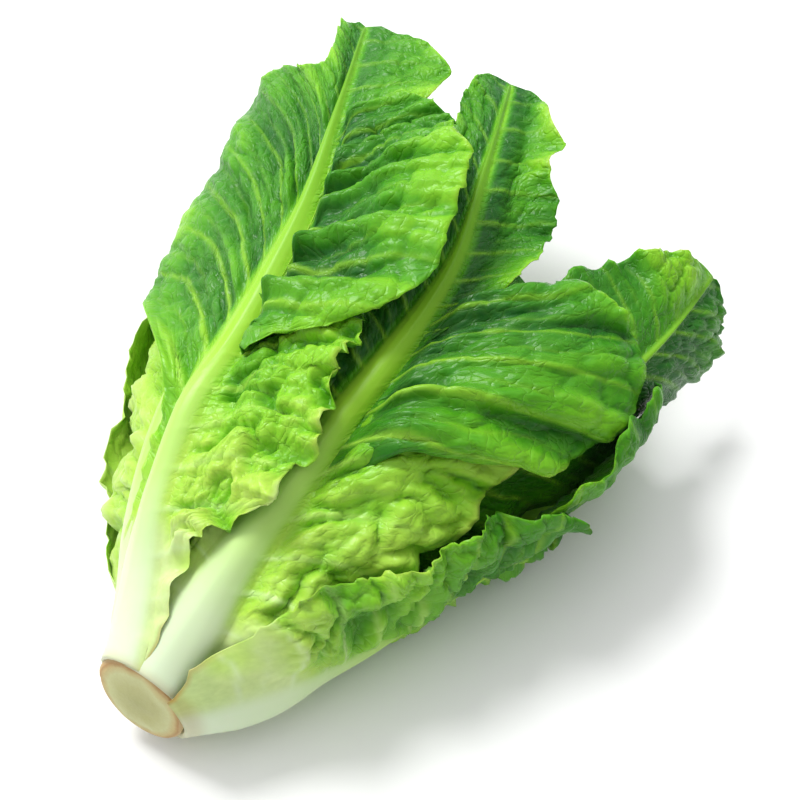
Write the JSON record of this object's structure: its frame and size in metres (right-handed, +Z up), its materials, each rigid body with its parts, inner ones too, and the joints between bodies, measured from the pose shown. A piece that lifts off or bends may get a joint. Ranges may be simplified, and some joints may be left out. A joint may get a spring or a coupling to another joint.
{
  "type": "romaine lettuce head",
  "caption": "Whole head of romaine lettuce lying on its side: long upright leaves with broad pale ribs round a short cut stem.",
  "frame": {"origin": "middle of the underside, on the surface the head lies on", "axes": "+X from the cut stem to the leaf tips, +Z up"},
  "size_m": [0.2928, 0.2252, 0.1104],
  "materials": {
    "cut_stem": "matte",
    "heart_leaf": "satin",
    "outer_leaf": "satin"
  },
  "bodies": {
    "root": {"stem": "cut_stem", "heart_leaf_1": "heart_leaf", "heart_leaf_2": "heart_leaf", "heart_leaf_3": "heart_leaf", "heart_leaf_4": "heart_leaf", "heart_leaf_5": "heart_leaf", "heart_leaf_6": "heart_leaf", "heart_leaf_7": "heart_leaf", "heart_leaf_8": "heart_leaf", "heart_leaf_9": "heart_leaf", "heart_leaf_10": "heart_leaf", "heart_leaf_11": "heart_leaf", "heart_leaf_12": "heart_leaf", "heart_leaf_13": "heart_leaf", "leaf_under_middle": "outer_leaf", "leaf_right": "outer_leaf", "leaf_left": "outer_leaf", "leaf_top": "outer_leaf", "leaf_under_left": "outer_leaf", "leaf_far_right": "outer_leaf", "leaf_low_right": "outer_leaf", "leaf_top_left": "outer_leaf"}
  },
  "joints": []
}
